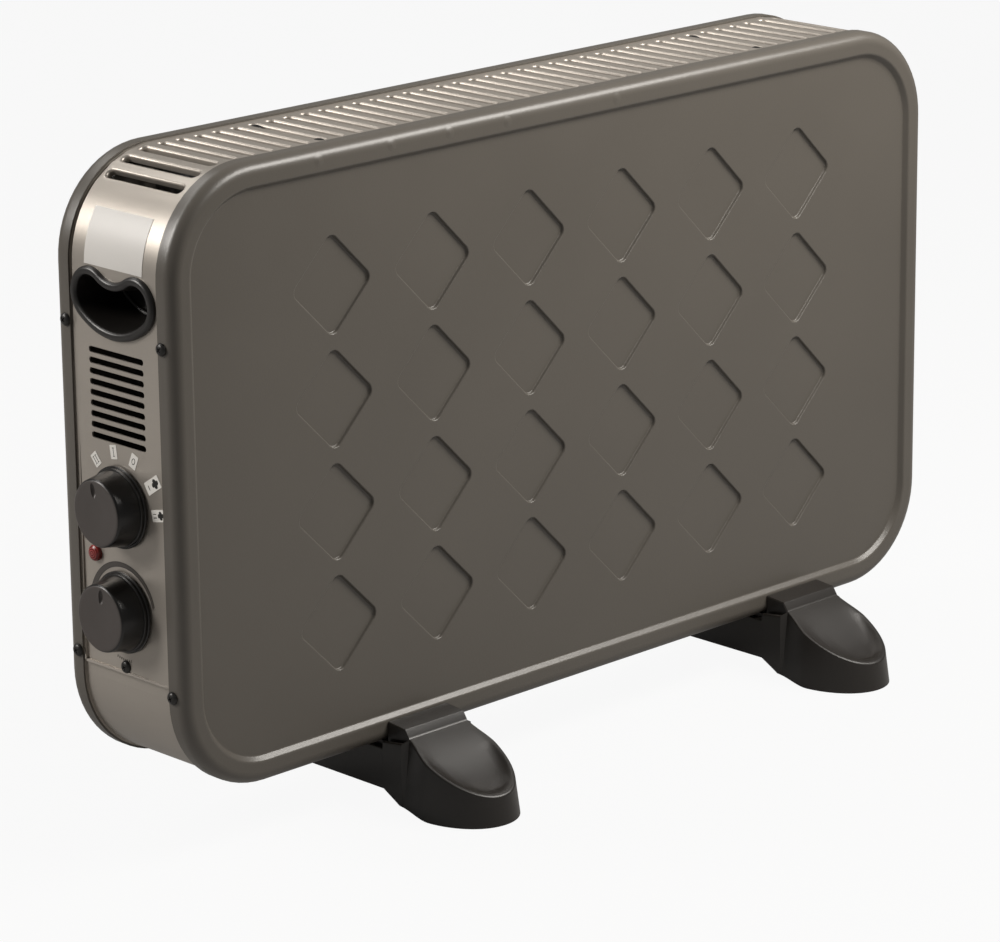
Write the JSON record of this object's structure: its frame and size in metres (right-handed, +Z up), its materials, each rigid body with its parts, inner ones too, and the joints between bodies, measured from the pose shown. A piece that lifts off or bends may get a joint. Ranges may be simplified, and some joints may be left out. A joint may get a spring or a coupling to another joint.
{
  "type": "electric radiator",
  "caption": "Free-standing convector radiator: pressed diamond panels, louvred wrap-round top, side handle cups, two control knobs, turbo fan and clip-on feet.",
  "frame": {"origin": "on the floor, below the middle of the body", "axes": "+X to the right seen from the front, +Y towards the back, +Z up; the controls are on the -X side"},
  "size_m": [0.6189, 0.236, 0.3837],
  "materials": {
    "pan_paint": "satin",
    "sheet_silver": "satin",
    "grip_black": "satin",
    "knob_black": "satin",
    "foot_plastic": "matt",
    "print_light": "matt",
    "print_dark": "matt",
    "lens_red": "gloss",
    "label_paper": "matt",
    "screw_black": "satin",
    "switch_plastic": "satin",
    "galvanised": "satin",
    "element_alloy": "satin",
    "rod_steel": "satin",
    "bush_ceramic": "matt",
    "lamination": "matt",
    "coil_copper": "satin",
    "grommet_rubber": "matt",
    "wire_cover": "satin",
    "fan_plastic": "satin"
  },
  "bodies": {
    "chassis": {"front_panel": "pan_paint", "rear_panel": "pan_paint", "upper_wrapper": "sheet_silver", "lower_wrapper": "sheet_silver", "front_flange_screws": "screw_black", "rear_flange_screws": "screw_black", "lap_screws": "screw_black", "left_handle_cup": "grip_black", "right_handle_cup": "grip_black", "selector_body": "switch_plastic", "thermostat_body": "switch_plastic", "control_screws": "screw_black", "dial_marks": "print_light", "thermostat_scale": "print_dark", "indicator_lens": "lens_red", "indicator_lamp": "switch_plastic", "corner_label": "label_paper", "left_foot": "foot_plastic", "right_foot": "foot_plastic", "foot_screws": "screw_black", "control_partition": "galvanised", "left_element_bracket": "galvanised", "right_element_bracket": "galvanised", "partition_screws": "screw_black", "bracket_screws": "screw_black", "lower_element": "element_alloy", "upper_element": "element_alloy", "lower_element_rod": "rod_steel", "upper_element_rod": "rod_steel", "element_bushes": "bush_ceramic", "front_heat_shield": "galvanised", "rear_heat_shield": "galvanised", "left_hanger": "galvanised", "right_hanger": "galvanised", "hanger_screws": "screw_black", "fan_shroud": "galvanised", "motor_yoke": "galvanised", "motor_stator": "lamination", "motor_coil": "coil_copper", "motor_bridge": "galvanised", "thermal_cutout": "switch_plastic", "terminal_block": "switch_plastic", "cord_grommet": "grommet_rubber", "internal_wiring": "wire_cover"},
    "selector": {"selector_knob": "knob_black", "selector_shaft": "switch_plastic"},
    "thermostat": {"thermostat_knob": "knob_black", "thermostat_shaft": "switch_plastic"},
    "fan": {"motor_rotor": "rod_steel", "fan_impeller": "fan_plastic"}
  },
  "joints": [
    {"name": "selector_turn", "type": "hinge", "parent": "chassis", "child": "selector", "pos_m": [-0.3, 0, 0.196], "axis": [1, 0, 0], "range_deg": [-32, 96]},
    {"name": "thermostat_turn", "type": "hinge", "parent": "chassis", "child": "thermostat", "pos_m": [-0.3, 0, 0.137], "axis": [1, 0, 0], "range_deg": [-156, 71]},
    {"name": "fan_spin", "type": "hinge", "parent": "chassis", "child": "fan", "pos_m": [0.027, 0, 0.08], "axis": [0, 0, 1], "continuous": true}
  ]
}
